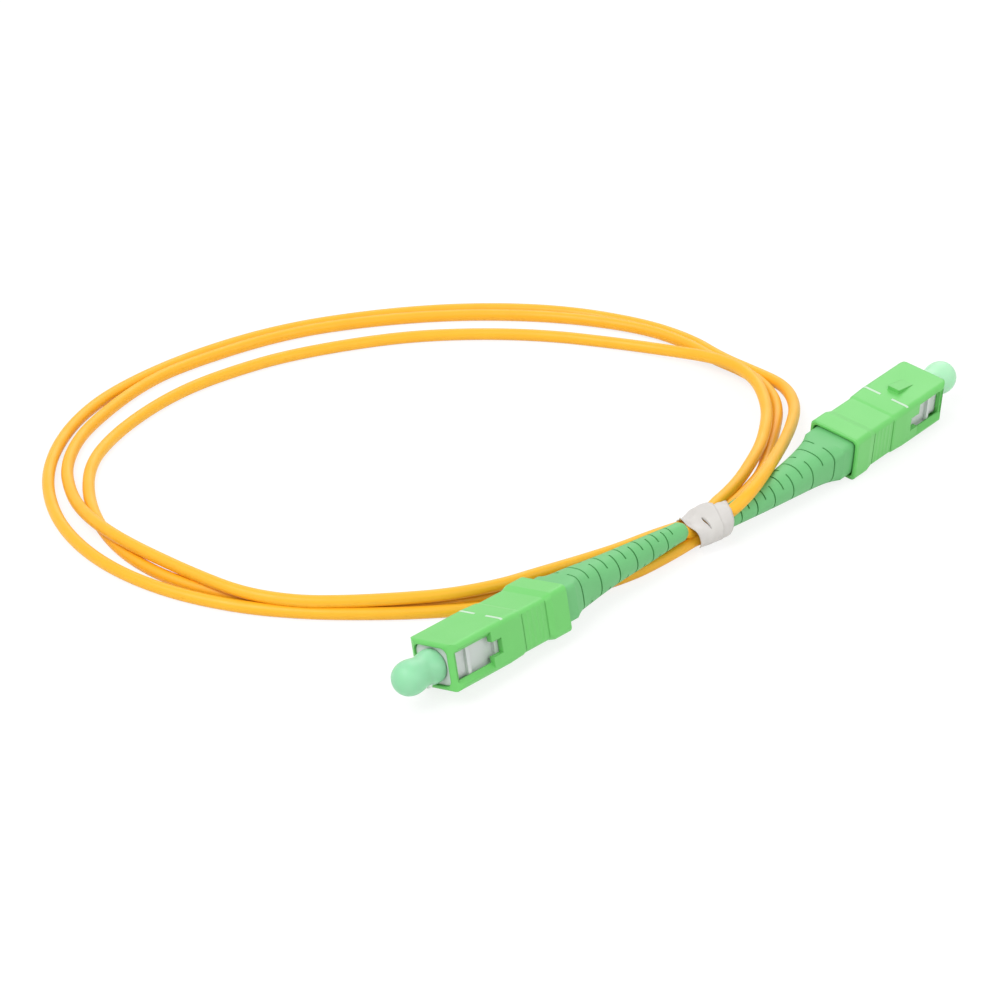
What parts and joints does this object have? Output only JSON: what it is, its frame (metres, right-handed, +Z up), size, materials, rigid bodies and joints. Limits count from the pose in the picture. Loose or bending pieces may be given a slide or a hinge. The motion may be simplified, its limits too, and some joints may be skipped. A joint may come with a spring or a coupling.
{
  "type": "fibre optic patch cable",
  "caption": "Slim fibre optic patch cable with a push-pull angled plug at each end, coiled and held by a wrap.",
  "frame": {"origin": "on the surface it lies on, under the wrap, midway between the two plugs", "axes": "+Z up from the surface; +X to the right in the picture and +Y away from the viewer"},
  "size_m": [0.1491, 0.1335, 0.01],
  "materials": {
    "green_shell": "semi-gloss",
    "green_boot": "satin",
    "white_frame": "satin",
    "white_mark": "matt",
    "cap_mint": "translucent satin",
    "ferrule_ceramic": "polished",
    "flange_metal": "satin",
    "spring_steel": "satin",
    "crimp_metal": "satin",
    "buffer_white": "satin",
    "cable_jacket": "satin",
    "tie_white": "matt"
  },
  "bodies": {
    "cable": {"cable_coil": "cable_jacket", "cable_lead_a": "cable_jacket", "cable_lead_b": "cable_jacket", "wrap_tie": "tie_white", "plug_frame_a": "white_frame", "ferrule_spring_a": "spring_steel", "back_body_a": "white_frame", "crimp_ring_a": "crimp_metal", "buffer_tube_a": "buffer_white", "boot_a": "green_boot", "plug_frame_b": "white_frame", "ferrule_spring_b": "spring_steel", "back_body_b": "white_frame", "crimp_ring_b": "crimp_metal", "buffer_tube_b": "buffer_white", "boot_b": "green_boot"},
    "grip_a": {"housing_a": "green_shell", "mark_bars_a": "white_mark"},
    "ferrule_set_a": {"ferrule_a": "ferrule_ceramic", "ferrule_flange_a": "flange_metal"},
    "cap_a": {"dust_cap_a": "cap_mint"},
    "grip_b": {"housing_b": "green_shell", "mark_bars_b": "white_mark"},
    "ferrule_set_b": {"ferrule_b": "ferrule_ceramic", "ferrule_flange_b": "flange_metal"},
    "cap_b": {"dust_cap_b": "cap_mint"}
  },
  "joints": [
    {"name": "housing_slide_a", "type": "slide", "parent": "cable", "child": "grip_a", "axis": [-0.6597, -0.7509, 0.0314], "range_m": [-0.002, 0]},
    {"name": "ferrule_float_a", "type": "slide", "parent": "cable", "child": "ferrule_set_a", "axis": [-0.6597, -0.7509, 0.0314], "range_m": [-0.0012, 0], "stiffness_N_per_m": 1000, "deforming": ["ferrule_spring_a"]},
    {"name": "dust_cap_pull_a", "type": "slide", "parent": "cable", "child": "cap_a", "axis": [-0.6597, -0.7509, 0.0314], "range_m": [0, 0.014]},
    {"name": "housing_slide_b", "type": "slide", "parent": "cable", "child": "grip_b", "axis": [0.6291, 0.7769, 0.0262], "range_m": [-0.002, 0]},
    {"name": "ferrule_float_b", "type": "slide", "parent": "cable", "child": "ferrule_set_b", "axis": [0.6291, 0.7769, 0.0262], "range_m": [-0.0012, 0], "stiffness_N_per_m": 1000, "deforming": ["ferrule_spring_b"]},
    {"name": "dust_cap_pull_b", "type": "slide", "parent": "cable", "child": "cap_b", "axis": [0.6291, 0.7769, 0.0262], "range_m": [0, 0.014]}
  ]
}
